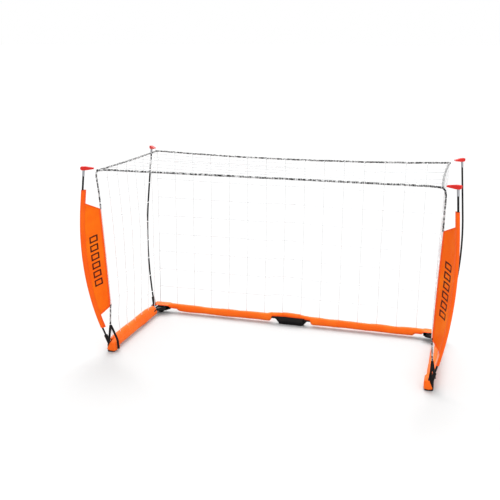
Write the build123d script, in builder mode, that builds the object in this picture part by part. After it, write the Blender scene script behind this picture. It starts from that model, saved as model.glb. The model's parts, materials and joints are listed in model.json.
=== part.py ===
from build123d import *
from math import sin, cos, asin, atan2, radians, hypot
import os

os.makedirs("parts", exist_ok=True)

# Driving dimensions, millimetres. +X to the goal's right, +Y to its back, +Z up.
BAR_X = 757.0  # side bars' axes
BAR_Y = 280.0  # back bar's axis
BAR_Z = 32.0  # height of every base bar's axis
TUBE_R = 8.0
TUBE_WALL = 1.2
PIN_X = 65.0  # fold pins of the centre hinge
PIN_R = 3.0
FIT = 0.05  # radial running clearance round a pin
CORNER = 35.0  # corner pin's offset from both bar axes
PLATE = 3.0
GAP = 0.5  # between a knuckle and the plates round it
SIDE_FRONT_Y = -296.0  # front end of the side tubes
SLEEVE_W, SLEEVE_LOW, SLEEVE_TOP = 34.0, 9.0, 61.0
ROD_R = 4.5
SOCKET = 60.0  # depth of a pole's seat in its receiver
RECEIVER_R = 9.0
SOCKET_R = 4.8
NET = 2.0  # thickness of a net panel
NET_LOW, NET_TOP = 76.0, 903.0
NET_X = 760.0
NET_BACK_Y = 300.0
NET_FRONT_Y = -362.0
ROPE_R = 3.5
TIP_Z = 905.0
SHIFT_Y = 16.51  # puts the origin under the middle of the whole goal

# A pole: foot of its axis, compass angle of its bow, lean of the bow's plane, tilt at the
# foot, inward tilt at the tip and length of its straight top.
FRONT_POLE = dict(x=770.0, y=-328.0, angle=-48.0, lean=0.0, tilt=20.0, end=6.3, top=170.0, z0=30.0)
REAR_POLE = dict(x=782.0, y=245.0, angle=35.3, lean=5.2, tilt=21.2, end=2.1, top=270.0, z0=30.0)
STRAIGHT = 80.0  # straight foot of each pole
# Where each pole's cap points: at the corner of the net.
NET_CORNERS = {"front": (766.0, -368.5), "rear": (767.0, 315.0)}


def tip_height(p):
    """Height of the tip in the bow's own plane."""
    return p["z0"] + (TIP_Z - p["z0"]) / cos(radians(p["lean"]))


def bow(p):
    """In the bow's plane: end of the straight foot, the arc's centre, radius and far end."""
    t, e = radians(p["tilt"]), radians(p["end"])
    foot = (STRAIGHT * sin(t), p["z0"] + STRAIGHT * cos(t))
    rise = tip_height(p) - foot[1] - p["top"] * cos(e)
    radius = rise / (sin(t) + sin(e))
    centre = (foot[0] - radius * cos(t), foot[1] + radius * sin(t))
    return foot, centre, radius, on_arc(centre, radius, -e)


def on_arc(centre, radius, tilt):
    return (centre[0] + radius * cos(tilt), centre[1] - radius * sin(tilt))


def pole_plane(p, s):
    """Local X runs outward along the bow, local Y up in its plane."""
    a, lean = radians(p["angle"]), radians(p["lean"])
    up = (-s * sin(a) * sin(lean), cos(a) * sin(lean), cos(lean))
    foot = (s * p["x"], p["y"], p["z0"])
    return Plane(
        origin=tuple(f - p["z0"] * u for f, u in zip(foot, up)),
        x_dir=(s * cos(a), sin(a), 0),
        z_dir=(sin(a) * cos(lean), -s * cos(a) * cos(lean), s * sin(lean)),
    )


def rod_at(p, z, offset=0.0):
    """Tilt and place of a line beside the rod, by its height in the bow's plane."""
    foot, centre, radius, far = bow(p)
    t, e = radians(p["tilt"]), radians(p["end"])
    if z <= foot[1]:
        return t, ((z - p["z0"]) * sin(t) / cos(t) + offset / cos(t), z)
    if z >= far[1]:
        return -e, (far[0] - (z - far[1]) * sin(e) / cos(e) + offset / cos(e), z)
    tilt = -asin((z - centre[1]) / (radius + offset))
    return tilt, on_arc(centre, radius + offset, tilt)


def rod_line(p):
    """Draws the rod's axis: the straight foot, the bow and the straight top."""
    foot, centre, radius, far = bow(p)
    t, e = radians(p["tilt"]), radians(p["end"])
    Line((0, p["z0"]), foot)
    ThreePointArc(foot, on_arc(centre, radius, (t - e) / 2), far)
    Line(far, rod_at(p, tip_height(p))[1])


def rod_frame(p, s, z):
    """A plane square to the rod at that height of its plane, with its middle on the axis."""
    tilt, place = rod_at(p, z)
    plane = pole_plane(p, s)
    return Plane(
        origin=plane.from_local_coords((*place, 0)),
        z_dir=plane.x_dir * sin(tilt) + plane.y_dir * cos(tilt),
    )


def finish(part, name):
    part = part.moved(Location((0, SHIFT_Y, 0)))
    part.label = name
    export_step(part, "parts/" + name + ".step")


# ---------------------------------------------------------------- centre hinge
PLATE_TOP = BAR_Z + TUBE_R + GAP
PLATE_LOW = BAR_Z - TUBE_R - GAP - PLATE
SHELL_L, SHELL_W = 166.0, 36.0

with BuildPart() as hinge_shell:
    for h in (PLATE_TOP, PLATE_LOW):
        with BuildSketch(Plane.XY.offset(h)):
            with Locations((0, BAR_Y)):
                SlotOverall(SHELL_L, SHELL_W)
            with Locations((0, BAR_Y - SHELL_W / 4 - 4)):
                Rectangle(SHELL_L - 34, SHELL_W / 2 - 8)
            with Locations((-PIN_X, BAR_Y), (PIN_X, BAR_Y)):
                Circle(PIN_R, mode=Mode.SUBTRACT)
        extrude(amount=PLATE)
    with BuildSketch(Plane.XZ.offset(-(BAR_Y - SHELL_W / 2 + PLATE))):
        with Locations((0, (PLATE_LOW + PLATE_TOP + PLATE) / 2)):
            RectangleRounded(SHELL_L - 34, PLATE_TOP + PLATE - PLATE_LOW, 2)
    extrude(amount=PLATE)
finish(hinge_shell.part, "hinge_shell")

with BuildPart() as hinge_foot:
    with BuildSketch(Plane.XY):
        with Locations((0, BAR_Y)):
            SlotOverall(SHELL_L - 34, SHELL_W - 10)
    with BuildSketch(Plane.XY.offset(PLATE_LOW)):
        with Locations((0, BAR_Y)):
            SlotOverall(SHELL_L, SHELL_W)
    loft()
    with BuildSketch(Plane.XY.offset(PLATE_LOW - 3)):
        with Locations((-PIN_X, BAR_Y), (PIN_X, BAR_Y)):
            Circle(6)
    extrude(amount=3, mode=Mode.SUBTRACT)
finish(hinge_foot.part, "hinge_foot")


RIVET_X = (BAR_X - 46, BAR_X - 26)
RIVET_R = 2.4


def add_pin(x, y):
    """A riveted pin through both plates, with a domed head above and a set head below."""
    with Locations((x, y, PLATE_LOW - 2.5)):
        Cylinder(5, 2.5, align=(Align.CENTER, Align.CENTER, Align.MIN))
    with Locations((x, y, PLATE_LOW)):
        Cylinder(PIN_R, PLATE_TOP + PLATE - PLATE_LOW, align=(Align.CENTER, Align.CENTER, Align.MIN))
    with Locations((x, y, PLATE_TOP + PLATE)):
        Cone(6, 3.5, 2.5, align=(Align.CENTER, Align.CENTER, Align.MIN))


with BuildPart() as hinge_pins:
    add_pin(-PIN_X, BAR_Y)
    add_pin(PIN_X, BAR_Y)
finish(hinge_pins.part, "hinge_pins")

COVER_LOW = PLATE_TOP + PLATE + 3.5
with BuildPart() as hinge_cover:
    with BuildSketch(Plane.YZ.offset(-78)):
        with Locations((BAR_Y - 1, COVER_LOW)):
            Rectangle(34, 8, align=(Align.CENTER, Align.MIN))
        with Locations((BAR_Y - 1, COVER_LOW + 4)):
            Ellipse(16, 11)
        with Locations((BAR_Y - 1, COVER_LOW)):
            Rectangle(60, 20, align=(Align.CENTER, Align.MAX), mode=Mode.SUBTRACT)
    extrude(amount=156)
finish(hinge_cover.part, "hinge_cover")


# ---------------------------------------------------------------- the two halves of the base
def sleeve_sketch(s, cx, lean):
    """A sleeve's section round the bar: a soft oval with the bar's passage through it."""
    with Locations((cx + lean, (SLEEVE_LOW + SLEEVE_TOP) / 2)):
        Ellipse(SLEEVE_W / 2, (SLEEVE_TOP - SLEEVE_LOW) / 2)
    with Locations((cx, BAR_Z)):
        Circle(TUBE_R + 0.4, mode=Mode.SUBTRACT)


PIVOT_X, PIVOT_Y = BAR_X - CORNER, BAR_Y - CORNER
SLEEVE_START = PIN_X + 32
SLEEVE_END = BAR_X - 52
KNUCKLE_R = 8.0

for s, side in ((-1, "left"), (1, "right")):
    # Back tube: a flattened knuckle on the hinge pin, then a plain round tube.
    with BuildPart() as back_tube:
        with BuildSketch(Plane.YZ.offset(s * (PIN_X + 20))):
            with Locations((BAR_Y, BAR_Z)):
                Circle(TUBE_R)
                Circle(TUBE_R - TUBE_WALL, mode=Mode.SUBTRACT)
        extrude(amount=s * (BAR_X - 12 - PIN_X - 20))
        with BuildSketch(Plane.XY.offset(BAR_Z - TUBE_R)):
            with Locations((s * (PIN_X + 11), BAR_Y)):
                Rectangle(22, 2 * KNUCKLE_R)
            with Locations((s * PIN_X, BAR_Y)):
                Circle(KNUCKLE_R)
                Circle(PIN_R + FIT, mode=Mode.SUBTRACT)
        extrude(amount=2 * TUBE_R)
        for x in RIVET_X:
            with Locations((s * x, BAR_Y, BAR_Z)):
                Cylinder(RIVET_R, 30, mode=Mode.SUBTRACT)
    finish(back_tube.part, "back_tube_" + side)

    # Corner bracket: two plates and an outer wall, with a hole for the pole's receiver.
    low, top = PLATE_LOW, PLATE_TOP
    with BuildPart() as corner_bracket:
        for h in (low, top):
            with BuildSketch(Plane.XY.offset(h)):
                with BuildLine():
                    Polyline(
                        (s * (BAR_X - 60), BAR_Y + 14),
                        (s * (BAR_X + 22), BAR_Y + 14),
                        (s * (BAR_X + 42), BAR_Y - 8),
                        (s * (BAR_X + 42), BAR_Y - 44),
                        (s * (BAR_X + 34), BAR_Y - 52),
                        (s * (BAR_X + 8), BAR_Y - 52),
                        (s * (PIVOT_X + 4), PIVOT_Y - 11),
                        (s * (PIVOT_X - 11), PIVOT_Y - 4),
                        (s * (BAR_X - 60), BAR_Y - 14),
                        close=True,
                    )
                make_face()
                with Locations((s * PIVOT_X, PIVOT_Y)):
                    Circle(PIN_R, mode=Mode.SUBTRACT)
            extrude(amount=PLATE)
        with BuildSketch(Plane.XY.offset(low)):
            with BuildLine():
                Polyline(
                    (s * (BAR_X - 60), BAR_Y + 14),
                    (s * (BAR_X + 22), BAR_Y + 14),
                    (s * (BAR_X + 42), BAR_Y - 8),
                    (s * (BAR_X + 42), BAR_Y - 20),
                    (s * (BAR_X + 39), BAR_Y - 20),
                    (s * (BAR_X + 39), BAR_Y - 9.2),
                    (s * (BAR_X + 20.7), BAR_Y + 11),
                    (s * (BAR_X - 60), BAR_Y + 11),
                    close=True,
                )
            make_face()
        extrude(amount=top + PLATE - low)
        with BuildSketch(rod_frame(REAR_POLE, s, low + PLATE)):
            Circle(RECEIVER_R)
        extrude(amount=60, mode=Mode.SUBTRACT)
        for x in RIVET_X:
            with Locations((s * x, BAR_Y, BAR_Z)):
                Cylinder(RIVET_R, 60, mode=Mode.SUBTRACT)
    finish(corner_bracket.part, "corner_bracket_" + side)

    with BuildPart() as corner_rivets:
        for x in RIVET_X:
            with Locations((s * x, BAR_Y, low - 1.6)):
                Cylinder(4, 1.6, align=(Align.CENTER, Align.CENTER, Align.MIN))
                Cylinder(RIVET_R, top + PLATE - low + 1.6, align=(Align.CENTER, Align.CENTER, Align.MIN))
            with Locations((s * x, BAR_Y, top + PLATE)):
                Cone(4.5, 2.6, 1.8, align=(Align.CENTER, Align.CENTER, Align.MIN))
    finish(corner_rivets.part, "corner_rivets_" + side)

    with BuildPart() as corner_pin:
        add_pin(s * PIVOT_X, PIVOT_Y)
    finish(corner_pin.part, "corner_pin_" + side)

    with BuildPart() as corner_foot:
        with BuildSketch(Plane.XY):
            with Locations((s * (BAR_X - 2), BAR_Y - 8)):
                Circle(15)
        extrude(amount=low, taper=-8)
    finish(corner_foot.part, "corner_foot_" + side)

    # Receiver: a plain socket that the pole's foot drops into, closed by the bottom plate.
    with BuildPart() as rear_receiver:
        with BuildSketch(rod_frame(REAR_POLE, s, REAR_POLE["z0"] - 3)):
            Circle(RECEIVER_R)
        extrude(amount=SOCKET + 3)
        with BuildSketch(rod_frame(REAR_POLE, s, REAR_POLE["z0"] - 0.4)):
            Circle(SOCKET_R)
        extrude(amount=SOCKET + 10, mode=Mode.SUBTRACT)
        with Locations((s * REAR_POLE["x"], REAR_POLE["y"], low + PLATE)):
            Box(80, 80, 60, align=(Align.CENTER, Align.CENTER, Align.MAX), mode=Mode.SUBTRACT)
    finish(rear_receiver.part, "rear_receiver_" + side)

    with BuildPart() as back_sleeve:
        with BuildSketch(Plane.YZ.offset(s * SLEEVE_START)):
            sleeve_sketch(s, BAR_Y, 0)
        extrude(amount=s * (SLEEVE_END - 10 - SLEEVE_START))
    finish(back_sleeve.part, "back_sleeve_" + side)

    with BuildPart() as corner_cover:
        with BuildSketch(Plane.XY.offset(COVER_LOW)):
            with BuildLine():
                Polyline(
                    (s * (SLEEVE_END - 8), BAR_Y + 16),
                    (s * (BAR_X + 4), BAR_Y + 16),
                    (s * (BAR_X + 4), BAR_Y + 10),
                    (s * (BAR_X - 18), BAR_Y - 20),
                    (s * (SLEEVE_END - 8), BAR_Y - 20),
                    close=True,
                )
            make_face()
        extrude(amount=11)
    finish(corner_cover.part, "corner_cover_" + side)

    with BuildPart() as back_net:
        with BuildSketch(Plane.XZ.offset(-NET_BACK_Y)):
            with BuildLine():
                Polyline(
                    (s * 6, NET_LOW),
                    (s * 744, NET_LOW),
                    (s * 754, 300),
                    (s * 754, NET_TOP - 12),
                    (s * 6, NET_TOP - 12),
                    close=True,
                )
            make_face()
        extrude(amount=NET)
    finish(back_net.part, "back_net_" + side)

    # Side tube: its rear knuckle turns on the corner pin, inside the corner bracket.
    with BuildPart() as side_tube:
        with BuildSketch(Plane.XZ.offset(-SIDE_FRONT_Y)):
            with Locations((s * BAR_X, BAR_Z)):
                Circle(TUBE_R)
                Circle(TUBE_R - TUBE_WALL, mode=Mode.SUBTRACT)
        extrude(amount=-(PIVOT_Y - CORNER - SIDE_FRONT_Y))
        with BuildSketch(Plane.XY.offset(BAR_Z - TUBE_R)):
            with BuildLine():
                Polyline(
                    (s * (BAR_X + 8), PIVOT_Y - CORNER - 22),
                    (s * (BAR_X + 8), PIVOT_Y - CORNER + 4),
                    (s * (PIVOT_X + 5.6), PIVOT_Y + 5.6),
                    (s * (PIVOT_X - 5.6), PIVOT_Y - 5.6),
                    (s * (BAR_X - 8), PIVOT_Y - CORNER - 3),
                    (s * (BAR_X - 8), PIVOT_Y - CORNER - 22),
                    close=True,
                )
            make_face()
            with Locations((s * PIVOT_X, PIVOT_Y)):
                Circle(KNUCKLE_R)
                Circle(PIN_R + FIT, mode=Mode.SUBTRACT)
        extrude(amount=2 * TUBE_R)
    finish(side_tube.part, "side_tube_" + side)

    # Front fitting: a moulded foot on the tube's end that holds the front receiver.
    with BuildPart() as front_fitting:
        with BuildSketch(Plane.XY):
            with Locations((s * (BAR_X + 7), -320)):
                RectangleRounded(38, 40, 9)
        extrude(amount=BAR_Z + TUBE_R)
        fillet(front_fitting.faces().sort_by(Axis.Z)[-1].edges(), 4)
        with Locations((s * BAR_X, SIDE_FRONT_Y - 8, BAR_Z)):
            Cylinder(
                TUBE_R - TUBE_WALL,
                33,
                rotation=(-90, 0, 0),
                align=(Align.CENTER, Align.CENTER, Align.MIN),
            )
        with BuildSketch(rod_frame(FRONT_POLE, s, FRONT_POLE["z0"] - 6)):
            Circle(RECEIVER_R)
        extrude(amount=60, mode=Mode.SUBTRACT)
    finish(front_fitting.part, "front_fitting_" + side)

    with BuildPart() as front_receiver:
        with BuildSketch(rod_frame(FRONT_POLE, s, FRONT_POLE["z0"] - 6)):
            Circle(RECEIVER_R)
        extrude(amount=SOCKET + 6)
        with BuildSketch(rod_frame(FRONT_POLE, s, FRONT_POLE["z0"] - 0.4)):
            Circle(SOCKET_R)
        extrude(amount=SOCKET + 10, mode=Mode.SUBTRACT)
    finish(front_receiver.part, "front_receiver_" + side)

    with BuildPart() as side_sleeve:
        with BuildSketch(Plane.XZ.offset(-(SIDE_FRONT_Y + 1.5))):
            sleeve_sketch(s, s * BAR_X, s * 3)
        extrude(amount=-(PIVOT_Y - CORNER - 30 - SIDE_FRONT_Y))
    finish(side_sleeve.part, "side_sleeve_" + side)

    # Webbing loop that ties the net's front edge down to the foot.
    with BuildPart() as foot_strap:
        with BuildLine():
            FilletPolyline(
                (s * 738, -313, 8),
                (s * 738, -313, 50),
                (s * 769, -317, 134),
                (s * 786, -308, 50),
                (s * 786, -308, 46.2),
                radius=6,
            )
        with BuildSketch(Plane(origin=(s * 738, -313, 8), x_dir=(0, 1, 0), z_dir=(0, 0, 1))):
            Rectangle(7, 2)
        sweep()
    finish(foot_strap.part, "foot_strap_" + side)

    with BuildPart() as side_net:
        with BuildSketch(Plane.YZ.offset(s * NET_X)):
            with BuildLine():
                Polyline(
                    (-292, NET_LOW),
                    (210, NET_LOW),
                    (240, 200),
                    (304, NET_TOP - 12),
                    (-354, NET_TOP - 12),
                    (-330, 740),
                    (-316, 500),
                    (-306, 250),
                    (-300, 150),
                    close=True,
                )
            make_face()
        extrude(amount=s * NET)
    finish(side_net.part, "side_net_" + side)

    # Bungee down the net's front edge, from the roof's corner to the webbing loop.
    with BuildPart() as edge_rope:
        rope_x = s * (NET_X + NET / 2)
        with BuildLine():
            FilletPolyline(
                (rope_x, -359.5, 896),
                (rope_x, -335, 740),
                (rope_x, -320.5, 500),
                (rope_x, -310.5, 250),
                (rope_x, -304.5, 150),
                radius=90,
            )
        with BuildSketch(Plane(origin=(rope_x, -359.5, 896), z_dir=(0, 24.5, -156))):
            Circle(3.0)
        sweep()
    finish(edge_rope.part, "edge_rope_" + side)

    # Roof: the half that hangs on this side, and the bungee round its outer edges.
    fx, fy = NET_CORNERS["front"]
    rx, ry = NET_CORNERS["rear"]
    with BuildPart() as roof_net:
        with BuildSketch(Plane.XY.offset(NET_TOP)):
            with BuildLine():
                Polyline(
                    (s * 0.5, fy + 6),
                    (s * (fx - 6), fy + 6),
                    (s * (fx - 12.5), (fy + ry) / 2),
                    (s * (rx - 6), ry - 6),
                    (s * 0.5, ry - 6),
                    close=True,
                )
            make_face()
        extrude(amount=NET)
    finish(roof_net.part, "roof_net_" + side)

    rope_z = NET_TOP + NET / 2
    with BuildPart() as roof_rope:
        with BuildLine():
            FilletPolyline(
                (s * 0.5, fy, rope_z),
                (s * fx, fy, rope_z),
                (s * (fx - 7), (fy + ry) / 2, rope_z),
                (s * rx, ry, rope_z),
                (s * 0.5, ry, rope_z),
                radius=5,
            )
        with BuildSketch(Plane(origin=(s * 0.5, fy, rope_z), z_dir=(s, 0, 0))):
            Circle(ROPE_R)
        sweep()
    finish(roof_rope.part, "roof_rope_" + side)

    # ------------------------------------------------------------ poles
    for place, p in (("front", FRONT_POLE), ("rear", REAR_POLE)):
        name = place + "_" + side
        plane = pole_plane(p, s)
        with BuildPart() as rod:
            with BuildLine(plane):
                rod_line(p)
            with BuildSketch(rod_frame(p, s, p["z0"])):
                Circle(ROD_R)
            sweep()
        finish(rod.part, "rod_" + name)

        # Metal collar below the cap.
        with BuildPart() as collars:
            with BuildSketch(rod_frame(p, s, tip_height(p) - 28)):
                Circle(ROD_R + 1.0)
            extrude(amount=27.5)
            with BuildLine(plane):
                rod_line(p)
            with BuildSketch(rod_frame(p, s, p["z0"])):
                Circle(ROD_R)
            sweep(mode=Mode.SUBTRACT)
        finish(collars.part, "collars_" + name)

        # Cap: a stubby T whose long arm points at the corner of the net.
        tip = plane.from_local_coords((*rod_at(p, tip_height(p))[1], 0))
        tx, ty = tip.X, tip.Y
        nx, ny = NET_CORNERS[place]
        aim = atan2(ny - ty, s * nx - tx)
        cap_plane = Plane(origin=(tx, ty, TIP_Z), x_dir=(cos(aim), sin(aim), 0), z_dir=(sin(aim), -cos(aim), 0))
        with BuildPart() as cap:
            with BuildSketch(cap_plane.offset(-7)):
                with BuildLine():
                    Polyline((-14, 5), (-14, 14), (-9, 17), (10, 17), (47, 11), (47, 5), (12, 0), (-9, 0), close=True)
                make_face()
            extrude(amount=14)
            fillet(cap.edges().filter_by(Axis((0, 0, 0), (sin(aim), -cos(aim), 0))), 1.8)
            with BuildSketch(rod_frame(p, s, tip_height(p) - 4)):
                Circle(ROD_R + 0.1)
            extrude(amount=4.6, mode=Mode.SUBTRACT)
        finish(cap.part, "cap_" + name)

        # Bungee loop from the cap's arm to just short of the net's corner.
        reach = hypot(ny - ty, s * nx - tx) - 5.5
        with BuildPart() as cap_loop:
            with BuildLine(cap_plane):
                FilletPolyline((47.4, 6), (reach, 3), (reach, -4), (47.4, 2), radius=2.5)
            with BuildSketch(Plane(origin=cap_plane.from_local_coords((47.4, 6, 0)), z_dir=cap_plane.x_dir)):
                Circle(1.4)
            sweep()
        finish(cap_loop.part, "cap_loop_" + name)

    # Wing: a pocket along the front pole and the flat panel sewn to it.
    p = FRONT_POLE
    foot, centre, radius, far = bow(p)
    plane = pole_plane(p, s)

    def edge(offset, low, high):
        """One long edge of the pocket, from low to high; gives its two ends."""
        ends = [rod_at(p, z, offset)[1] for z in (low, 420, high)]
        bend = on_arc(centre, radius + offset, -radians(p["end"]))
        ThreePointArc(ends[0], ends[1], bend)
        Line(bend, ends[2])
        return ends[0], ends[2]

    with BuildPart() as wing:
        with BuildSketch(plane.offset(-7)):
            with BuildLine():
                low_out, high_out = edge(7, 130, 806)
                low_in, high_in = edge(-14, 130, 806)
                Line(high_out, high_in)
                Line(low_in, low_out)
            make_face()
        extrude(amount=14)
        with BuildSketch(plane.offset(-1.5)):
            with BuildLine():
                low_end, high_end = edge(-8, 136, 790)
                Polyline(
                    high_end,
                    rod_at(p, 790, -27)[1],
                    rod_at(p, 745, -27)[1],
                    (11, 723),
                    (5, 640),
                    (-3, 500),
                    (-9, 380),
                    (-13, 262),
                    (-13, 250),
                    (1, 229),
                    rod_at(p, 196, -26)[1],
                    rod_at(p, 136, -22)[1],
                    low_end,
                )
            make_face()
        extrude(amount=3)
        with BuildLine(plane):
            rod_line(p)
        with BuildSketch(rod_frame(p, s, p["z0"])):
            Circle(ROD_R + 1.4)
        sweep(mode=Mode.SUBTRACT)
    finish(wing.part, "wing_" + side)
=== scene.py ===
import json
import math

import bmesh
import bpy
import numpy as np
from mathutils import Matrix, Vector, noise


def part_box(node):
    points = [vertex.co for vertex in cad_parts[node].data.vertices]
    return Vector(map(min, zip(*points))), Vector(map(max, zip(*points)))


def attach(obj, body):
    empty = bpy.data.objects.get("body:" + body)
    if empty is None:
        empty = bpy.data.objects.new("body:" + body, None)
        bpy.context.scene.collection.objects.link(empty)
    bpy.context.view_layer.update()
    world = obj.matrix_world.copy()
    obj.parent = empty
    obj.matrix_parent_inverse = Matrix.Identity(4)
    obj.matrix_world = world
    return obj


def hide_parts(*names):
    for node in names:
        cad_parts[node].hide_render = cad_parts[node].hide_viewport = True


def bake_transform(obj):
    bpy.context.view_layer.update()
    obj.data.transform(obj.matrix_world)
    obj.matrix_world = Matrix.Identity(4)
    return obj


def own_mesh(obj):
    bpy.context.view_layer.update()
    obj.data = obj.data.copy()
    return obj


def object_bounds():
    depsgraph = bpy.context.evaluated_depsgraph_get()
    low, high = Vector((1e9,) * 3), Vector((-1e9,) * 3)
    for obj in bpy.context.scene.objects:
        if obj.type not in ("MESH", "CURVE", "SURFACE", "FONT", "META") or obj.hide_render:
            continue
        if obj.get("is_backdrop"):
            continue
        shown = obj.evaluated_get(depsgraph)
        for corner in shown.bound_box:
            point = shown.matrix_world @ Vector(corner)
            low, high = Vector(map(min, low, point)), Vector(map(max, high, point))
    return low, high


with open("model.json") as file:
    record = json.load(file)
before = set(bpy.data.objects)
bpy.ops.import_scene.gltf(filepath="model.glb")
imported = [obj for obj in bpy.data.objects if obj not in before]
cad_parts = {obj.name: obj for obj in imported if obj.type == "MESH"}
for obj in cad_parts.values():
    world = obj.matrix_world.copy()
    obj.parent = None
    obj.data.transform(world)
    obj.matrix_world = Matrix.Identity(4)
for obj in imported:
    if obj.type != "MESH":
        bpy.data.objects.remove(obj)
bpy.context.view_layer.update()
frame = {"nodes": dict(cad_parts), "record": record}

SIDES = ((-1, "left"), (1, "right"))

# ------------------------------------------------------------ camera, first
scene = bpy.context.scene
yaw, pitch = math.radians(16.52), math.radians(15.26)
forward = Vector((-math.sin(yaw) * math.cos(pitch), math.cos(yaw) * math.cos(pitch), -math.sin(pitch)))
camera = bpy.data.objects.new("camera", bpy.data.cameras.new("camera"))
scene.collection.objects.link(camera)
camera.location = (0.8687, -3.4471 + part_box("back_tube_right")[0][1] - 0.272, 1.458)
camera.rotation_mode = "QUATERNION"
camera.rotation_quaternion = forward.to_track_quat("-Z", "Y")
camera.data.lens, camera.data.sensor_width = 54.2, 36.0
camera.data.shift_x = 0.0016
scene.camera = camera

# ------------------------------------------------------------ places read from the frame
TUBE_R = 0.008
bar_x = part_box("side_tube_right")[1][0] - TUBE_R
lo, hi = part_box("back_tube_right")
bar_y, bar_z = (lo[1] + hi[1]) / 2, (lo[2] + hi[2]) / 2
roof_lo, roof_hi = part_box("roof_rope_right")
roof_z = (roof_lo[2] + roof_hi[2]) / 2
front_corner = (roof_hi[0] - 0.0045, roof_lo[1] + 0.0035)
rear_corner = (roof_hi[0] - 0.0035, roof_hi[1] - 0.0035)


class Pole:
    """The axis of a pole in the plane of its bow: a straight foot, an arc, a straight top."""

    straight, tip_z, foot_z = 0.08, 0.905, 0.03

    def __init__(self, x, y, angle, lean, tilt, end, top):
        a, lean, t, e = (math.radians(v) for v in (angle, lean, tilt, end))
        self.x, self.y, self.tilt, self.end = x, y, t, e
        self.out = (math.cos(a), math.sin(a))
        self.up = (-math.sin(a) * math.sin(lean), math.cos(a) * math.sin(lean), math.cos(lean))
        self.tip = self.foot_z + (self.tip_z - self.foot_z) / math.cos(lean)
        self.bend = self.foot_z + self.straight * math.cos(t)
        self.radius = (self.tip - self.bend - top * math.cos(e)) / (math.sin(t) + math.sin(e))
        r, z = self.straight * math.sin(t) - self.radius * math.cos(t), self.bend + self.radius * math.sin(t)
        self.centre = (r, z)
        self.far = (r + self.radius * math.cos(e), z + self.radius * math.sin(e))

    def r(self, z, offset=0.0):
        """How far out the axis, or a line beside it, is at that height of the plane."""
        if z < self.bend:
            return (z - self.foot_z) * math.tan(self.tilt) + offset
        if z > self.far[1]:
            return self.far[0] - (z - self.far[1]) * math.tan(self.end) + offset
        return self.centre[0] + math.sqrt((self.radius + offset) ** 2 - (z - self.centre[1]) ** 2)

    def place(self, s, r, z, side=0.0):
        """A point of the pole's plane, or beside it, in the row frame."""
        (ox, oy), h = self.out, z - self.foot_z
        x = self.x + r * ox + h * self.up[0] + side * oy
        return Vector((s * x, self.y + r * oy + h * self.up[1] - side * ox, self.foot_z + h * self.up[2]))


shift = bar_y - 0.28
front_pole = Pole(0.770, -0.328 + shift, -48.0, 0.0, 20.0, 6.3, 0.17)
rear_pole = Pole(0.782, 0.245 + shift, 35.3, 5.2, 21.2, 2.1, 0.27)


# ------------------------------------------------------------ mesh helpers
def new_object(name, verts, faces, uvs=None):
    mesh = bpy.data.meshes.new(name)
    mesh.from_pydata([tuple(v) for v in verts], [], faces)
    if uvs is not None:
        layer = mesh.uv_layers.new(name="metres")
        flat = [c for f in faces for i in f for c in uvs[i]]
        layer.data.foreach_set("uv", flat)
    mesh.polygons.foreach_set("use_smooth", [True] * len(mesh.polygons))
    mesh.update()
    obj = bpy.data.objects.new(name, mesh)
    scene.collection.objects.link(obj)
    return obj


def frames_along(points):
    """A side and an up direction at each point of a line, carried along without twisting."""
    points = [Vector(p) for p in points]
    tangents = []
    for i in range(len(points)):
        a, b = points[max(i - 1, 0)], points[min(i + 1, len(points) - 1)]
        tangents.append((b - a).normalized())
    up = tangents[0].orthogonal().normalized()
    result = []
    for t in tangents:
        up = (up - t * up.dot(t)).normalized()
        result.append((up, t.cross(up)))
    return result


class Builder:
    """Collects tubes and beads into one mesh with metric UVs."""

    def __init__(self):
        self.verts, self.faces, self.uvs = [], [], []

    def tube(self, points, radius, sides, strands=0, pitch=0.012, depth=0.0):
        """A closed tube, with the shallow spiral ridges of a cord where it has strands."""
        base, run, total = len(self.verts), 0.0, len(points)
        frames = frames_along(points)
        for i, p in enumerate(points):
            p = Vector(p)
            if i:
                run += (p - Vector(points[i - 1])).length
            for k in range(sides + 1):
                a = 2 * math.pi * k / sides
                r = radius
                if strands:
                    r += depth * math.cos(strands * a + run / pitch * 2 * math.pi)
                u, v = frames[i]
                self.verts.append(p + (u * math.cos(a) + v * math.sin(a)) * r)
                self.uvs.append((a * radius, run))
        ring = sides + 1
        for i in range(total - 1):
            for k in range(sides):
                a = base + i * ring + k
                self.faces.append((a, a + 1, a + 1 + ring, a + ring))
        for i, flip in ((0, True), (total - 1, False)):
            loop = [base + i * ring + k for k in range(sides)]
            self.faces.append(tuple(reversed(loop)) if flip else tuple(loop))

    def bead(self, centre, radius, squash, sides, rings):
        """A ball, such as a knot, lower than it is wide."""
        base = len(self.verts)
        c = Vector(centre)
        for i in range(rings + 1):
            phi = math.pi * i / rings
            for k in range(sides):
                a = 2 * math.pi * k / sides
                p = Vector((math.sin(phi) * math.cos(a), math.sin(phi) * math.sin(a), math.cos(phi) * squash))
                self.verts.append(c + p * radius)
                self.uvs.append((a * radius, phi * radius))
        for i in range(rings):
            for k in range(sides):
                a, b = base + i * sides + k, base + i * sides + (k + 1) % sides
                if i == 0:
                    self.faces.append((a, a + sides, b + sides))
                elif i == rings - 1:
                    self.faces.append((a, a + sides, b))
                else:
                    self.faces.append((a, a + sides, b + sides, b))

    def make(self, name):
        return new_object(name, self.verts, self.faces, self.uvs)


def weld(obj, distance=1e-6):
    bm = bmesh.new()
    bm.from_mesh(obj.data)
    bmesh.ops.remove_doubles(bm, verts=bm.verts, dist=distance)
    bmesh.ops.recalc_face_normals(bm, faces=bm.faces)
    bm.to_mesh(obj.data)
    bm.free()


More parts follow.
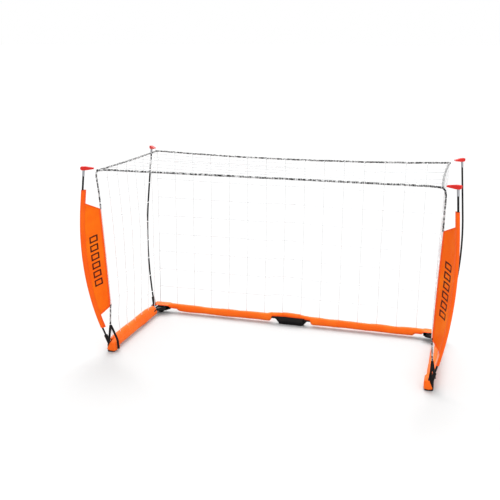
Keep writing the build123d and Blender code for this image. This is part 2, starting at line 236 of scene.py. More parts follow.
def thicken(obj, thickness):
    """Gives a sheet its thickness and applies it, so that the mesh is final."""
    m = obj.modifiers.new("thick", "SOLIDIFY")
    m.thickness, m.offset, m.use_even_offset = thickness, 0.0, True
    dg = bpy.context.evaluated_depsgraph_get()
    dg.update()
    mesh = bpy.data.meshes.new_from_object(obj.evaluated_get(dg), preserve_all_data_layers=True, depsgraph=dg)
    obj.modifiers.clear()
    obj.data = mesh
    return obj


def grid(name, rows, uvs, attributes=None):
    """A sheet from rows of points, all of one length."""
    n = len(rows[0])
    verts = [p for row in rows for p in row]
    faces = []
    for i in range(len(rows) - 1):
        for k in range(n - 1):
            a = i * n + k
            faces.append((a, a + 1, a + n + 1, a + n))
    obj = new_object(name, verts, faces, [u for row in uvs for u in row])
    for key, values in (attributes or {}).items():
        layer = obj.data.attributes.new(key, "FLOAT", "POINT")
        layer.data.foreach_set("value", [v for row in values for v in row])
    return obj


# Half widths and half thicknesses of webbing with rounded edges, once round.
RIBBON_SECTION = (
    (-1, -0.5), (-0.8, -1), (0, -1.15), (0.8, -1), (1, -0.5),
    (1, 0.5), (0.8, 1), (0, 1.15), (-0.8, 1), (-1, 0.5), (-1, -0.5),
)


def ribbon(name, points, wide, thick, facing):
    """Flat webbing along a line, its face turned that way."""
    rows, uvs, run = [], [], 0.0
    for i, p in enumerate(points):
        if i:
            run += (p - points[i - 1]).length
        t = (points[min(i + 1, len(points) - 1)] - points[max(i - 1, 0)]).normalized()
        n = Vector(facing)
        n = (n - t * n.dot(t)).normalized()
        b = t.cross(n)
        ring = [b * wide / 2 * c + n * thick / 2 * d for c, d in RIBBON_SECTION]
        rows.append([p + r for r in ring])
        uvs.append([(wide * k / 5, run) for k in range(len(ring))])
    obj = grid(name, rows, uvs)
    weld(obj, 1e-7)
    return obj


def smoothed(points, times):
    """A line's corners rounded off, with its ends kept."""
    for _ in range(times):
        inside = [(a + b * 2 + c) / 4 for a, b, c in zip(points, points[1:], points[2:])]
        points = [points[0], *inside, points[-1]]
    return points


def smoothstep(a, b, x):
    t = min(1.0, max(0.0, (x - a) / (b - a)))
    return t * t * (3 - 2 * t)


def wobble(x, y, z, scale, seed=0.0):
    return noise.noise(Vector((x / scale + seed, y / scale - seed, z / scale + 0.37 * seed)))


# ------------------------------------------------------------ materials
def to_linear(rgb):
    return tuple((c / 255 / 12.92) if c <= 10 else ((c / 255 + 0.055) / 1.055) ** 2.4 for c in rgb)


class Material:
    """A node material: a base colour with layers of variation, and a bump chain."""

    def __init__(self, name, rgb, roughness=0.6, **sockets):
        self.mat = bpy.data.materials.new(name)
        self.mat.use_nodes = True
        self.nodes, self.links = self.mat.node_tree.nodes, self.mat.node_tree.links
        self.shader = self.nodes["Principled BSDF"]
        self.colour, self.bump = None, None
        self.rgb = (*to_linear(rgb), 1.0)
        self.shader.inputs["Base Color"].default_value = self.rgb
        self.shader.inputs["Roughness"].default_value = roughness
        for key, value in sockets.items():
            self.shader.inputs[key.replace("_", " ")].default_value = value
        self.mat.diffuse_color = self.rgb
        self.object = self.nodes.new("ShaderNodeTexCoord").outputs["Object"]

    def node(self, kind, **values):
        n = self.nodes.new("ShaderNode" + kind)
        for key, value in values.items():
            setattr(n, key, value)
        return n

    def math(self, operation, a, b=0.0, c=0.0):
        n = self.node("Math", operation=operation)
        for i, v in enumerate((a, b, c)):
            if isinstance(v, (int, float)):
                n.inputs[i].default_value = v
            else:
                self.links.new(v, n.inputs[i])
        return n.outputs[0]

    def attribute(self, name):
        return self.node("Attribute", attribute_name=name).outputs["Fac"]

    def uv(self):
        n = self.node("UVMap", uv_map="metres")
        split = self.node("SeparateXYZ")
        self.links.new(n.outputs[0], split.inputs[0])
        return split.outputs[0], split.outputs[1]

    def noise(self, scale, detail=3.0, stretch=None, roughness=0.55):
        n = self.node("TexNoise")
        n.inputs["Scale"].default_value = scale
        n.inputs["Detail"].default_value = detail
        n.inputs["Roughness"].default_value = roughness
        if stretch:
            m = self.node("Mapping")
            m.inputs["Scale"].default_value = stretch
            self.links.new(self.object, m.inputs[0])
            self.links.new(m.outputs[0], n.inputs["Vector"])
        else:
            self.links.new(self.object, n.inputs["Vector"])
        return n.outputs["Fac"]

    def ramp(self, value, low, high):
        n = self.node("MapRange")
        n.inputs["From Min"].default_value, n.inputs["From Max"].default_value = low, high
        self.links.new(value, n.inputs["Value"])
        return n.outputs[0]

    def tint(self, factor, rgb, amount=1.0, mode="MIX"):
        """Mixes a colour in where the factor is high."""
        n = self.node("Mix", data_type="RGBA", blend_type=mode)
        if self.colour is None:
            n.inputs[6].default_value = self.rgb
        else:
            self.links.new(self.colour, n.inputs[6])
        n.inputs[7].default_value = (*to_linear(rgb), 1.0)
        self.links.new(self.math("MULTIPLY", factor, amount), n.inputs[0])
        self.colour = n.outputs[2]
        return self

    def bumps(self, height, distance, strength=1.0):
        n = self.node("Bump")
        n.inputs["Strength"].default_value = strength
        n.inputs["Distance"].default_value = distance
        self.links.new(height, n.inputs["Height"])
        if self.bump is not None:
            self.links.new(self.bump, n.inputs["Normal"])
        self.bump = n.outputs[0]
        return self

    def rough(self, value, low, high):
        n = self.node("MapRange")
        n.inputs["To Min"].default_value, n.inputs["To Max"].default_value = low, high
        self.links.new(value, n.inputs["Value"])
        self.links.new(n.outputs[0], self.shader.inputs["Roughness"])
        return self

    def done(self):
        if self.colour is not None:
            self.links.new(self.colour, self.shader.inputs["Base Color"])
        if self.bump is not None:
            self.links.new(self.bump, self.shader.inputs["Normal"])
        return self.mat

    def wave(self, along, around):
        """A sine over the metric UVs, such as the lay of a cord."""
        u, v = self.uv()
        phase = self.math("ADD", self.math("MULTIPLY", v, along), self.math("MULTIPLY", u, around))
        return self.math("SINE", phase)

    def weave(self, pitch, depth, strength=0.6):
        """A plain weave from the metric UVs: warp and weft that take turns on top."""
        u, v = self.uv()
        k = 2 * math.pi / pitch
        a = self.math("SINE", self.math("MULTIPLY", u, k))
        b = self.math("SINE", self.math("MULTIPLY", v, k))
        return self.bumps(self.math("MULTIPLY", a, b), depth, strength)

    def stitches(self, distance, at):
        """A row of stitches that runs where the distance reads that value."""
        near = self.math("COMPARE", distance, at, STITCH_WIDTH / 2)
        phase = self.math("FRACT", self.math("MULTIPLY", self.uv()[1], 1 / STITCH_PITCH))
        row = self.math("MULTIPLY", near, self.math("LESS_THAN", phase, STITCH_SHARE))
        self.tint(row, (150, 50, 10), 0.35)
        return self.bumps(row, 0.0004, 0.3)


STITCH_WIDTH, STITCH_PITCH, STITCH_SHARE = 0.0009, 0.0042, 0.68
# The printed row: its pitch up the panel, half its width, its ends and its lines' thickness.
MARK_PITCH, MARK_HALF, MARK_LINE = 0.043, 0.021, 0.0074
MARK_LOW, MARK_HIGH = MARK_PITCH * 8, MARK_PITCH * 14 - 0.006


def cloth(name, rgb, hem_rgb, glow_rgb):
    """Coated orange nylon, darker where it is folded double at a hem."""
    m = Material(name, rgb, 0.6, Sheen_Weight=0.02, Sheen_Roughness=0.4, Specular_IOR_Level=0.08)
    m.tint(m.ramp(m.noise(9.0, 2.0), 0.42, 0.7), glow_rgb, 0.5)
    m.tint(m.ramp(m.noise(420.0, 2.0), 0.35, 0.8), hem_rgb, 0.25)
    m.rough(m.noise(60.0, 3.0), 0.4, 0.62)
    return m


sleeve_cloth = cloth("sleeve_cloth", (247, 104, 24), (226, 74, 16), (250, 126, 34))
seam = sleeve_cloth.attribute("seam")
sleeve_cloth.tint(sleeve_cloth.math("LESS_THAN", seam, 0.0075), (238, 78, 16), 0.75)
sleeve_cloth.stitches(seam, 0.006)
sleeve_cloth.weave(0.0013, 0.00025).bumps(sleeve_cloth.noise(38.0, 4.0), 0.0016, 0.5)
sleeve_cloth = sleeve_cloth.done()

wing_cloth = cloth("wing_cloth", (242, 100, 6), (234, 82, 8), (250, 134, 14))
inner, outer = wing_cloth.attribute("from_inner"), wing_cloth.attribute("from_outer")
end = wing_cloth.attribute("from_end")
for where, wide, amount in ((inner, 0.0125, 0.8), (end, 0.009, 0.7), (outer, 0.024, 0.55)):
    wing_cloth.tint(wing_cloth.math("LESS_THAN", where, wide), (240, 84, 24), amount)
for where, at in ((inner, 0.0110), (outer, 0.0225), (outer, 0.0255), (end, 0.0075)):
    wing_cloth.stitches(where, at)
wing_cloth.tint(wing_cloth.attribute("pale"), (252, 196, 160), 0.6)


def printed_row(m):
    """A plain row of slanted open boxes printed up the panel."""
    off_line = m.attribute("off_line")
    slant = m.math("ADD", m.uv()[1], m.math("MULTIPLY", off_line, 0.3))
    step = m.math("FRACT", m.math("DIVIDE", slant, MARK_PITCH))
    up = m.math("MINIMUM", step, m.math("SUBTRACT", 0.74, step))
    edge = m.math("SUBTRACT", MARK_HALF, m.math("ABSOLUTE", off_line))
    edge = m.math("MINIMUM", edge, m.math("MULTIPLY", up, MARK_PITCH))
    line = m.math("MULTIPLY", m.math("GREATER_THAN", edge, 0.0), m.math("LESS_THAN", edge, MARK_LINE))
    rows = m.math("COMPARE", slant, (MARK_LOW + MARK_HIGH) / 2, (MARK_HIGH - MARK_LOW) / 2)
    m.tint(m.math("MULTIPLY", line, rows), (46, 14, 12), 0.94)


printed_row(wing_cloth)
wing_cloth.weave(0.0011, 0.0002).bumps(wing_cloth.noise(30.0, 4.0, (1, 1, 0.45)), 0.002, 0.45)
wing_cloth = wing_cloth.done()

twine = Material("net_twine", (233, 234, 235), 0.75, Sheen_Weight=0.2, Specular_IOR_Level=0.3)
twine.tint(twine.ramp(twine.noise(55.0, 3.0), 0.45, 0.75), (214, 215, 215), 0.5)
twine.bumps(twine.wave(2200.0, 1800.0), 0.0003, 0.6)
twine = twine.done()

bungee = Material("flecked_bungee", (20, 20, 22), 0.7, Sheen_Weight=0.1, Specular_IOR_Level=0.3)
braid = bungee.math("MULTIPLY", bungee.wave(420.0, 880.0), bungee.wave(420.0, -880.0))
fleck = bungee.math("ADD", bungee.noise(108.0, 1.0), bungee.math("MULTIPLY", braid, 0.2))
bungee.tint(bungee.ramp(fleck, 0.515, 0.575), (222, 222, 222), 0.92)
bungee.bumps(braid, 0.0006, 0.8)
bungee = bungee.done()

webbing = Material("webbing", (14, 14, 15), 0.8, Sheen_Weight=0.1, Specular_IOR_Level=0.15)
rib = webbing.wave(3100.0, 1500.0)
webbing.tint(webbing.ramp(rib, 0.2, 1.0), (38, 38, 40), 0.6)
webbing.bumps(rib, 0.0004, 0.8)
webbing = webbing.done()


def hard(name, rgb, roughness, worn_rgb, grain, depth, metallic=0.0, stretch=None, shine=0.5):
    """Moulded plastic, painted steel or bare metal, with grain, smudges and worn patches."""
    m = Material(name, rgb, roughness, Metallic=metallic, Specular_IOR_Level=shine)
    m.tint(m.ramp(m.noise(26.0, 5.0, stretch), 0.5, 0.75), worn_rgb, 0.25)
    m.rough(m.noise(70.0, 4.0, stretch), max(roughness - 0.1, 0.05), min(roughness + 0.14, 1.0))
    m.bumps(m.noise(grain, 2.0, stretch), depth, 0.5)
    return m.done()


black_steel = hard("black_powder_coat", (15, 14, 14), 0.42, (50, 40, 37), 1500.0, 0.0002, shine=0.2)
black_plastic = hard("black_moulding", (14, 14, 15), 0.55, (34, 33, 32), 1100.0, 0.0002, shine=0.15)
drawn = (1, 1, 0.08)
rod_finish = hard("wound_rod", (9, 9, 10), 0.36, (22, 22, 25), 600.0, 0.0001, stretch=drawn, shine=0.18)
collar_finish = hard("grey_collar", (150, 152, 156), 0.38, (110, 110, 112), 900.0, 0.0001, 0.6)
pin_finish = hard("plated_pin", (150, 150, 152), 0.3, (95, 92, 88), 1200.0, 0.0001, 1.0)
cap_finish = hard("cap_moulding", (206, 32, 24), 0.5, (172, 24, 20), 700.0, 0.0002, shine=0.25)

FINISHES = {
    "black_steel": black_steel,
    "bare_steel": pin_finish,
    "black_plastic": black_plastic,
    "fibreglass": rod_finish,
    "collar_metal": collar_finish,
    "cap_plastic": cap_finish,
    "webbing": webbing,
    "bungee": bungee,
    "sleeve_fabric": sleeve_cloth,
    "wing_fabric": wing_cloth,
    "net_cord": twine,
}


def paint(obj, material):
    obj.data.materials.clear()
    obj.data.materials.append(material)


slots = {p["node"]: p["material_slot"] for p in frame["record"]["subparts"]}
for name, obj in frame["nodes"].items():
    for i in range(max(1, len(obj.material_slots))):
        if not obj.material_slots:
            obj.data.materials.append(None)
        obj.material_slots[i].material = FINISHES[slots[name]]


def place(obj, slot, body=None, replaces=(), material=None):
    paint(obj, material or FINISHES[slot])
    if replaces:
        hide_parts(*replaces)
    if body:
        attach(obj, body)
    return obj


# ------------------------------------------------------------ fabric sleeves of the base
SLEEVE_LOW, SLEEVE_TOP = 0.0095, 0.0605
AROUND = 36
CLOTH = 0.0012
SEAM_ALLOWANCE = 0.004


def sleeve_row(across, lean, half_w, reach, low=SLEEVE_LOW, top=SLEEVE_TOP, seed=0.0, along=0.0):
    """One section of a sleeve, from one edge over the top to the other, as (across, height)."""
    zc, h = (low + top) / 2, (top - low) / 2
    row = []
    for k in range(AROUND + 1):
        a = (2 * k / AROUND - 1) * reach
        x, z = math.sin(a), math.cos(a)
        # Rounder above than below, where the cloth hangs slack.
        x = math.copysign(abs(x) ** (0.85 if z > 0 else 1.1), x)
        r = 1 + 0.10 * wobble(along, a * 0.02, 0, 0.045, seed)
        r += 0.05 * wobble(along, a * 0.02, 1, 0.016, seed)
        y = across + half_w * x * r + lean * (z + 1) / 2
        row.append((y, zc + h * z * (1 + 0.35 * (r - 1))))
    return row


def sleeve_piece(name, stations, section, point):
    """A sleeve through stations along a bar; section gives a row and point turns it to 3-D."""
    rows, uvs, seams = [], [], []
    for s in stations:
        row = section(s)
        run, us = 0.0, []
        for k, (a, z) in enumerate(row):
            if k:
                run += math.hypot(a - row[k - 1][0], z - row[k - 1][1])
            us.append(run)
        rows.append([point(s, a, z) for a, z in row])
        uvs.append([(u, s) for u in us])
        seams.append([min(u, us[-1] - u) for u in us])
    obj = grid(name, rows, uvs, {"seam": seams})
    return thicken(obj, CLOTH)


def flat_size(stations, section, extra=0.02):
    """The cut's width and length: the widest section laid flat, with a seam's allowance."""
    rows = [section(s) for s in stations]
    widest = max(sum(math.dist(row[k], row[k - 1]) for k in range(1, len(row))) for row in rows)
    return round(widest + SEAM_ALLOWANCE, 3), round(stations[-1] - stations[0] + extra, 3)


def spaced(a, b, step):
    n = max(2, round(abs(b - a) / step))
    return [a + (b - a) * i / n for i in range(n + 1)]


def foot_flap(s):
    """The sleeve's loose end, which hangs over the front fitting."""
    (x0, y0, _), (_, _, z1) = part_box("front_fitting_right")
    out = 0.0028  # cloth stands off the fitting
    corner = 0.009  # the fitting's rounded corner
    path = [(0.7790, y0 - out), (x0 + 0.010, y0 - out)]
    for k in range(1, 6):
        a, r = math.pi / 2 * k / 6, corner + out
        path.append((x0 + corner - r * math.sin(a), y0 + corner - r * math.cos(a)))
    path += [(x0 - out, y0 + 0.012), (x0 - out - 0.001, y0 + 0.055)]
    runs = [0.0]
    for a, b in zip(path, path[1:]):
        runs.append(runs[-1] + math.dist(a, b))
    rows, uvs, seams = [], [], []
    across = 32
    # Down the flap: from the ridge (0) to the fitting's edge (1), then down to the hem (3.7).
    for drop in (0.0, 0.25, 0.55, 0.85, 1.0, 1.15, 1.5, 2.0, 2.6, 3.2, 3.7):
        row, uv = [], []
        for k in range(across + 1):
            run = runs[-1] * k / across
            i = min(range(len(runs) - 1), key=lambda i: (run > runs[i + 1] + 1e-9, i))
            t = (run - runs[i]) / (runs[i + 1] - runs[i])
            edge = [path[i][c] + (path[i + 1][c] - path[i][c]) * t for c in (0, 1)]
            q = k / across
            ridge = (0.7655 - 0.006 * q, y0 + 0.012 + 0.045 * q)
            hang = max(0.0, drop - 1.0) / 2.7
            edge[0] -= 0.012 * (1 - hang) * max(0.0, 1 - q / 0.3)
            if drop <= 1.0:
                x, y = (ridge[c] + (edge[c] - ridge[c]) * drop for c in (0, 1))
                z = z1 + out + (0.006 + 0.010 * q) * (1 - drop**2)
            else:
                ragged = 0.0035 * wobble(run, s, 0, 0.012, 4.0) + 0.003 * wobble(run, s, 1, 0.03, 9.0)
                short = 0.010 * max(0.0, 1 - q / 0.25) ** 2
                z = z1 + out - hang * (z1 - 0.003 + ragged - short)
                flare = 0.002 * hang + 0.0015 * hang * wobble(run, s, 2, 0.014, 6.0)
                away = math.atan2(edge[1] - ridge[1], edge[0] - ridge[0])
                x, y = edge[0] + flare * math.cos(away), edge[1] + flare * math.sin(away)
            row.append((s * x, y, max(z, 0.0025)))
            uv.append((run, 0.02 * drop))
        rows.append(row)
        uvs.append(uv)
        seams.append([0.05 if drop < 3.6 else 0.004] * (across + 1))
    return thicken(grid("foot_flap", rows, uvs, {"seam": seams}), CLOTH)


def cover_top(x):
    """Height of the cloth over the centre hinge: a low hump to one side."""
    return 0.0605 - 0.0095 * min(1.0, ((x + 0.025) / 0.125) ** 2)


FULL = math.pi * 0.985  # how far each way a whole sleeve goes round
STATION = 0.008
COVER_END = 0.046  # half the length of the cover over the centre hinge
FLAP_EXTRA = 0.09  # what the loose end adds to a side sleeve's length
centre_cut = 0.104  # where the sleeve is cut away over the centre hinge
corner_cut = 0.118  # and how far before the corner
front_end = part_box("front_fitting_right")[0][1] + 0.026
for s, side in SIDES:

    def back_section(x, s=s):
        cut = 1 - smoothstep(centre_cut, centre_cut + 0.016, x)
        corner = smoothstep(bar_x - corner_cut, bar_x - corner_cut + 0.016, x)
        plate = smoothstep(bar_x - 0.066, bar_x - 0.054, x)
        low = SLEEVE_LOW + 0.004 * wobble(x, 0, 0, 0.11, 3.0 + s)
        low += (0.0415 - low) * plate
        slack = smoothstep(0.112, 0.140 if s < 0 else 0.280, x)
        top = cover_top(s * x) * (1 - slack) + (SLEEVE_TOP - 0.0125 + 0.002 * plate) * slack
        top += 0.0028 * wobble(x, 1, 0, 0.10, 5.0 + s)
        reach = FULL + (1.22 - FULL) * cut + (1.75 - FULL) * corner * (1 - plate) + (1.0 - FULL) * plate
        row = sleeve_row(bar_y, 0.002, 0.0175, reach, low, top, 2.0 + s, x)
        # Over the corner's plate the cloth is spread forwards.
        spread = 0.030 * plate
        return [(a - spread * max(0.0, (bar_y + 0.012 - a) / 0.028), z) for a, z in row]

    stations = spaced(0.040, bar_x + 0.030, STATION)
    name = "back_sleeve_cloth_" + side
    back = sleeve_piece(name, stations, back_section, lambda x, a, z, s=s: (s * x, a, z))
    place(back, "sleeve_fabric", replaces=["back_sleeve_" + side, "corner_cover_" + side])
    start, end = (s * COVER_END, bar_y, bar_z), (s * 0.100, bar_y, bar_z)
    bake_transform(back)
    flat, rests_on = flat_size(stations, back_section), ["back_tube_" + side]

    def side_section(y, s=s):
        end = 1 - smoothstep(front_end, front_end + 0.030, y)
        slack = 0.009 * smoothstep(bar_y - 0.20, bar_y - 0.09, y)
        low = SLEEVE_LOW - 0.001 + 0.003 * wobble(y, 0, 0, 0.10, 8.0 + s)
        top = SLEEVE_TOP + 0.003 + 0.003 * wobble(y, 2, 0, 0.10, 9.0 + s)
        half = 0.0165 * (1 - 0.72 * end**1.5)
        row = sleeve_row(bar_x, 0.017, half, FULL, low, top - slack, 6.0 + s, y)
        return [(a, z - 0.004 * end) for a, z in row]

    stations = spaced(front_end, bar_y - 0.082, STATION)
    name = "side_sleeve_cloth_" + side
    cloth_side = sleeve_piece(name, stations, side_section, lambda y, a, z, s=s: (s * a, y, z))
    flap = foot_flap(s)
    with bpy.context.temp_override(active_object=cloth_side, selected_editable_objects=[cloth_side, flap]):
        bpy.ops.object.join()
    place(cloth_side, "sleeve_fabric", "side_" + side, ["side_sleeve_" + side])
    flat, rests_on = flat_size(stations, side_section, FLAP_EXTRA), ["side_tube_" + side]


def cover_section(x):
    return sleeve_row(bar_y, 0.002, 0.0185, 1.22, SLEEVE_LOW, cover_top(x) + 0.002, 1.0, x)


stations = spaced(-COVER_END, COVER_END, STATION)
cover = sleeve_piece("hinge_cover_cloth", stations, cover_section, lambda x, a, z: (x, a, z))
place(cover, "sleeve_fabric", "centre_hinge", ["hinge_cover"])
flat = flat_size(stations, cover_section)

# ------------------------------------------------------------ wings on the front poles
POCKET = 0.024  # width of the pocket's flattened tube
WING_LOW, WING_HIGH = 0.130, 0.814
WING_COLUMNS = 40
HEM_LOW, HEM_HIGH = 0.232, 0.716  # between these the front bungee runs in the wing's hem
PANEL_EDGE = (  # height and distance out of the panel's inner edge
    (0.196, front_pole.r(0.196, -0.017)),
    (0.231, -0.0125),
    (0.236, -0.0155),
    (0.262, -0.0145),
    (0.380, -0.009),
    (0.500, -0.003),
    (0.640, 0.005),
    (0.716, 0.010),
    (0.750, front_pole.r(0.750, -0.017)),
)


def wing_inner(z):
    pocket = front_pole.r(z, -0.017)
    if not PANEL_EDGE[0][0] < z < PANEL_EDGE[-1][0]:
        return pocket
    for (z0, r0), (z1, r1) in zip(PANEL_EDGE, PANEL_EDGE[1:]):
        if z <= z1:
            return r0 + (r1 - r0) * (z - z0) / (z1 - z0)


for s, side in SIDES:
    heights = sorted(set(spaced(WING_LOW, WING_HIGH, 0.004) + [z for z, _ in PANEL_EDGE]))
    rows, uvs = [], []
    values = {key: [] for key in ("from_inner", "from_outer", "from_end", "off_line", "pale")}
    for z in heights:
        r_out, r_in = front_pole.r(z, 0.0075), wing_inner(z)
        width = r_out - r_in
        panel = max(0.0, min(1.0, (width - 0.03) / 0.05))
        faces = {1: [], -1: []}
        uv = {1: [], -1: []}
        got = {key: {1: [], -1: []} for key in values}
        for k in range(WING_COLUMNS + 1):
            r = r_out - width * k / WING_COLUMNS
            d = r_out - r
            # The pocket stands round the rod, then the two layers are sewn together.
            inside = min(1.0, d / POCKET)
            bulge = 0.0068 * math.sin(math.pi * inside**0.72) if d < POCKET else 0.0
            over = min(1.0, max(0.0, (d - POCKET) / max(width - POCKET, 1e-4)))
            sag = 0.007 * panel * math.sin(math.pi * over)
            crease = 0.0022 * panel * wobble(r * 0.6, z, 0, 0.05, 20 + s)
            crease += 0.0012 * panel * wobble(r, z * 0.5, 2, 0.02, 30 + s)
            crease *= smoothstep(0.0, 0.02, d - POCKET) * smoothstep(0.0, 0.012, r - r_in)
            # The right pocket's inner face is paler at its foot.
            pale = smoothstep(0.196, 0.180, z) * smoothstep(0.006, 0.013, d) if s > 0 else 0.0
            for f in (1, -1):
                faces[f].append(front_pole.place(s, r, z, f * (bulge + CLOTH * 0.6) - sag + crease))
                uv[f].append((r, z))
                got["from_inner"][f].append(r - r_in)
                got["from_outer"][f].append(d)
                got["from_end"][f].append(min(z - WING_LOW, WING_HIGH - z))
                got["pale"][f].append(pale)
                got["off_line"][f].append(r - (r_in + 0.012 + r_out - POCKET) / 2)
        order = faces[1] + faces[-1][::-1]
        rows.append(order + order[:1])
        ring_uv = uv[1] + uv[-1][::-1]
        uvs.append(ring_uv + ring_uv[:1])
        for key in values:
            ring = got[key][1] + got[key][-1][::-1]
            values[key].append(ring + ring[:1])
    wing = grid("wing_cloth_" + side, rows, uvs, values)
    weld(wing)
    place(wing, "wing_fabric", replaces=["wing_" + side])
    flat = (0.135, WING_HIGH - WING_LOW)
    a, b = front_pole.place(s, -0.012, 0.5), front_pole.place(s, 0.034, 0.5)
    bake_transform(wing)

# ------------------------------------------------------------ the net's edges
SEAT_Z = 0.0560  # where the net is sewn to the tops of the side sleeves
BACK_SEAT_Z = 0.0460  # and of the back ones
REAR_SAG = 0.016
top_f = (front_corner[0], front_corner[1], roof_z)
top_r = (rear_corner[0], rear_corner[1], roof_z)
strap_top = (0.770, -0.3165 + shift, 0.136)


def between(stops, z):
    """The point at height z on a line through stops, which run from low to high."""
    for a, b in zip(stops, stops[1:]):
        if z <= b[2]:
            t = max(0.0, (z - a[2]) / (b[2] - a[2]))
            return tuple(a[k] + (b[k] - a[k]) * t for k in range(3))
    return stops[-1]


def front_edge(z):
    """The net's front edge on the right: the webbing loop, the wing's hem, then the bungee."""
    in_hem = min(max(z, HEM_LOW), HEM_HIGH)
    p = front_pole.place(1, wing_inner(in_hem) + 0.002, in_hem)
    hem = (p.x, p.y, in_hem)
    if z < HEM_LOW:
        return between([(bar_x + 0.012, -0.300 + shift, SEAT_Z), strap_top, hem], z)
    if z > HEM_HIGH:
        bends = ((0.7795, -0.346, 0.80), (0.781, -0.358, 0.87), (0.776, -0.365, 0.895))
        return between([hem, *((x, y + shift, h) for x, y, h in bends), top_f], z)
    return hem


def rear_edge(z):
    return between([(bar_x + 0.004, bar_y + 0.004, BACK_SEAT_Z), (0.762, bar_y + 0.016, 0.45), top_r], z)


def ripple(p, amount=0.004, scale=0.22, seed=0.0):
    """The same slack for every twine that passes a place, so crossings stay together."""
    return Vector(tuple(amount * wobble(*p, scale, seed + 11 * k) for k in range(3)))


SQUARE = 0.1
TWINE_R = 0.0016
STEP = 0.025
ROOF_ROPE_R, EDGE_ROPE_R, CAP_LOOP_R = 0.0044, 0.0040, 0.0012
STRAP_WIDE, STRAP_THICK = 0.0110, 0.0024


def net_panel(name, corner, across, up, free=(1.0, 1.0, 1.0), border=True, rows_at=None, half=1.0):
    """Square mesh over a patch: corner(u, v) is the surface, across and up the squares' counts."""
    made = Builder()
    rows = rows_at or [j / up for j in range(up + 1)]
    columns = [i / across for i in range(across + 1) if i / across <= half + 1e-6]

    def at(u, v):
        p = Vector(corner(u, v))
        across_it, up_it = (math.sin(math.pi * min(max(w, 0.0), 1.0)) ** 0.5 for w in (u, v))
        loose = across_it * up_it
        d = ripple(p) * loose + ripple(p, 0.0014, 0.045, 5.0) * loose
        return p + Vector([d[k] * free[k] for k in range(3)])

    def run(start, stop, fixed, flip, radius=TWINE_R):
        a, b = (start, fixed) if not flip else (fixed, start), (stop, fixed) if not flip else (fixed, stop)
        long = (Vector(corner(*b)) - Vector(corner(*a))).length
        n = max(2, round(long / STEP))
        points = [at(a[0] + (b[0] - a[0]) * i / n, a[1] + (b[1] - a[1]) * i / n) for i in range(n + 1)]
        made.tube(points, radius, 5)

    for v in rows:
        edge = v in (rows[0], rows[-1])
        run(0.0, half, v, False, TWINE_R * (1.3 if edge and border else 1.0))
    for u in columns:
        run(0.0, 1.0, u, True)
        for v in rows:
            made.bead(at(u, v), TWINE_R * 1.8, 0.8, 6, 4)
    return made.make(name)


heights_net = [0.0, *[(k * SQUARE) / (roof_z - SEAT_Z) for k in range(1, 9)], 1.0]


def sag_at(x):
    return REAR_SAG * max(0.0, 1 - (x / rear_corner[0]) ** 2)


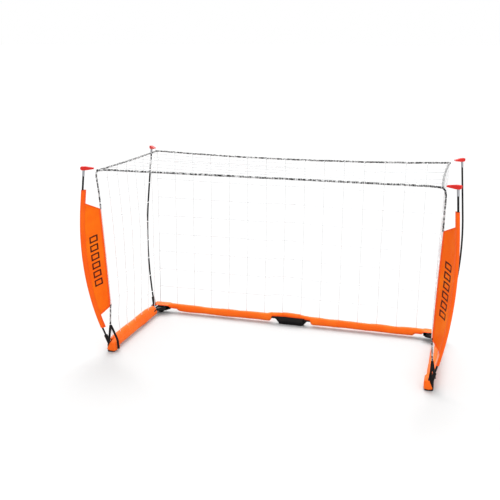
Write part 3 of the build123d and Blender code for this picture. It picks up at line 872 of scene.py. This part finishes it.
for s, side in SIDES:

    def side_surface(u, v, s=s):
        seat = SEAT_Z + (BACK_SEAT_Z - SEAT_Z) * smoothstep(0.6, 0.9, u)
        z = seat + (roof_z - seat) * v
        a, b = front_edge(z), rear_edge(z)
        belly = 0.010 * math.sin(math.pi * u) * math.sin(math.pi * v)
        top = 0.004 * math.sin(math.pi * u) * v
        x = a[0] + (b[0] - a[0]) * u - belly - 0.007 * v * math.sin(math.pi * u)
        return (s * x, a[1] + (b[1] - a[1]) * u, z - top)

    def back_surface(u, v, s=s):
        # u runs from this side's edge (0) to the other side's (1).
        e = rear_edge(BACK_SEAT_Z + (roof_z - BACK_SEAT_Z) * v)
        x = e[0] * (1 - 2 * u)
        seat = max(BACK_SEAT_Z, cover_top(s * x) - 0.001) if abs(x) < 0.12 else BACK_SEAT_Z
        z = seat + (roof_z - seat) * v
        belly = 0.018 * math.sin(math.pi * v) * math.sin(math.pi * u)
        return (s * x, e[1] + belly, z - sag_at(x) * v**3)

    def roof_surface(u, v, s=s):
        # v runs from the front rope to the rear rope.
        y = top_f[1] + (top_r[1] - top_f[1]) * v
        edge = top_f[0] + (top_r[0] - top_f[0]) * v - 0.007 * math.sin(math.pi * v)
        x = edge * (1 - 2 * u)
        droop = 0.020 * math.sin(math.pi * v) * math.sin(math.pi * u) + sag_at(x) * v**2
        return (s * x, y, roof_z - droop)

    net = net_panel("side_net_twine_" + side, side_surface, 7, 9, (1, 0.6, 0.6), rows_at=heights_net)
    place(net, "net_cord", replaces=["side_net_" + side])
    start, end = (s * bar_x, bar_y + 0.02, 0.5), (s * bar_x, bar_y - 0.10, 0.5)
    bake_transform(net)
    name = "back_net_twine_" + side
    net = net_panel(name, back_surface, 15, 9, (0.6, 1, 0.6), rows_at=heights_net, half=0.5)
    place(net, "net_cord", replaces=["back_net_" + side])
    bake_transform(net)
    net = net_panel("roof_net_twine_" + side, roof_surface, 15, 7, (0.6, 0.6, 1), border=False, half=0.5)
    place(net, "net_cord", "side_" + side, ["roof_net_" + side])
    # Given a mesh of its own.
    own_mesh(net)

    # Flecked bungee round the roof's edge, with a whipped knot at each corner.
    rope = Builder()
    line = []
    for i in range(41):
        x = top_f[0] * i / 40
        # Pulled a little higher than its corners.
        z = roof_z + 0.001 * wobble(x, 0, 3, 0.09, s) + 0.004 * min(1.0, (top_f[0] - x) / 0.06)
        line.append((s * x, top_f[1] + 0.0015 * wobble(x, 0, 0, 0.08, s), z))
    for i in range(1, 36):
        line.append(roof_surface(0.0, i / 35))
    for i in range(1, 41):
        x = top_r[0] * (1 - i / 40)
        line.append((s * x, top_r[1], roof_z - sag_at(x) + 0.002 * wobble(x, 0, 5, 0.08, s)))
    rope.tube(line, ROOF_ROPE_R, 10, 5, 0.014, 0.0004)
    for corner in (top_f, top_r):
        c = Vector((s * corner[0], corner[1], corner[2]))
        inward = Vector((-s * 0.012, 0.0, 0.0))
        rope.tube([c + inward * (k / 4 - 0.5) for k in range(6)], ROOF_ROPE_R + 0.0006, 10, 8, 0.004, 0.0004)
        rope.bead(c, 0.0052, 0.85, 10, 6)
    rope = rope.make("roof_bungee_" + side)
    place(rope, "bungee", "side_" + side, ["roof_rope_" + side])
    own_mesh(rope)

    # The bungee down the front edge: bare above the wing, in its hem, then bare to the loop.
    rope = Builder()
    for low, high in ((strap_top[2] - 0.002, HEM_LOW + 0.006), (HEM_HIGH, roof_z - 0.002)):
        line = [front_edge(z) for z in spaced(low, high, 0.010)]
        line = [(s * x, y + 0.0012 * wobble(z, s, 0, 0.05), z) for x, y, z in line]
        rope.tube(line, EDGE_ROPE_R, 10, 5, 0.010, 0.0003)
    knot = Vector(front_edge(strap_top[2] - 0.002))
    rope.bead((s * knot.x, knot.y, knot.z + 0.004), 0.0055, 1.1, 10, 6)
    rope = rope.make("front_bungee_" + side)
    place(rope, "bungee", "side_" + side, ["edge_rope_" + side])

    # Webbing loop over the foot, which lies differently on each side.
    if s < 0:
        inner, bend = Vector((0.7330, -0.3145 + shift, 0.010)), Vector((0.7350, -0.3160 + shift, 0.056))
    else:
        inner, bend = Vector((0.7640, -0.3400 + shift, 0.048)), Vector((0.7680, -0.3330 + shift, 0.085))
    outer = Vector((0.785, -0.309 + shift, 0.046))
    path = []
    for a, b, n in ((inner, bend, 10), (bend, Vector(strap_top), 16), (Vector(strap_top), outer, 16)):
        path += [a.lerp(b, i / n) for i in range(n)]
    path = smoothed([Vector((s * p.x, p.y, p.z)) for p in [*path, outer]], 6)
    strap = ribbon("foot_loop_" + side, path, STRAP_WIDE, STRAP_THICK, (0.35, -1, 0.1))
    place(strap, "webbing", "side_" + side, ["foot_strap_" + side])

    # Elastic loops from the caps to the corners of the net.
    ends = (("front", front_pole, top_f, "side_"), ("rear", rear_pole, top_r, "back_"))
    for where, pole, corner, other in ends:
        tip = pole.place(s, pole.r(pole.tip), pole.tip)
        c = Vector((s * corner[0], corner[1], corner[2]))
        aim = c - tip
        aim.z = 0
        aim.normalize()
        start = tip + aim * 0.045
        start.z = pole.tip_z + 0.0075
        loop = Builder()
        beside = Vector((-aim.y, aim.x, 0))
        line = []
        for q in np.linspace(0, 1, 33):
            ang = math.pi * 2 * q
            along = 0.5 - 0.5 * math.cos(ang)
            line.append(start.lerp(c, along) + beside * 0.0035 * math.sin(ang) * (1.2 - along))
        loop.tube(line, CAP_LOOP_R, 7)
        obj = loop.make("cap_bungee_" + where + "_" + side)
        place(obj, "net_cord", replaces=["cap_loop_%s_%s" % (where, side)])
        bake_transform(obj)

# ------------------------------------------------------------ floor and light
floor = new_object("floor", [(-900, -900, 0), (900, -900, 0), (900, 900, 0), (-900, 900, 0)], [(0, 1, 2, 3)])
ground = Material("studio_floor", (196, 196, 196), 0.95, Specular_IOR_Level=0.05)
ground.tint(ground.ramp(ground.noise(0.6, 1.0), 0.3, 0.9), (193, 193, 193), 0.3)
paint(floor, ground.done())
floor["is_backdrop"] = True


def light(kind, name, location, target, energy, **values):
    data = bpy.data.lights.new(name, kind)
    data.energy = energy
    for key, value in values.items():
        setattr(data, key, value)
    obj = bpy.data.objects.new(name, data)
    scene.collection.objects.link(obj)
    obj.location = location
    obj.rotation_mode = "QUATERNION"
    obj.rotation_quaternion = (Vector(target) - Vector(location)).to_track_quat("-Z", "Y")


# A soft high light from behind, so that shadows lie just in front of the base.
light("SUN", "overhead", (-1.2, 3.4, 4.4), (0, 0, 0), 3.7, angle=math.radians(48))
light("AREA", "key", (3.6, -3.4, 1.9), (-0.6, 0, 0.4), 45, shape="SQUARE", size=2.5)
world = bpy.data.worlds.new("studio")
world.use_nodes = True
world.node_tree.nodes["Background"].inputs[0].default_value = (1, 1, 1, 1)
world.node_tree.nodes["Background"].inputs[1].default_value = 1.0
scene.world = world
scene.view_settings.view_transform = "Standard"

low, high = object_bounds()
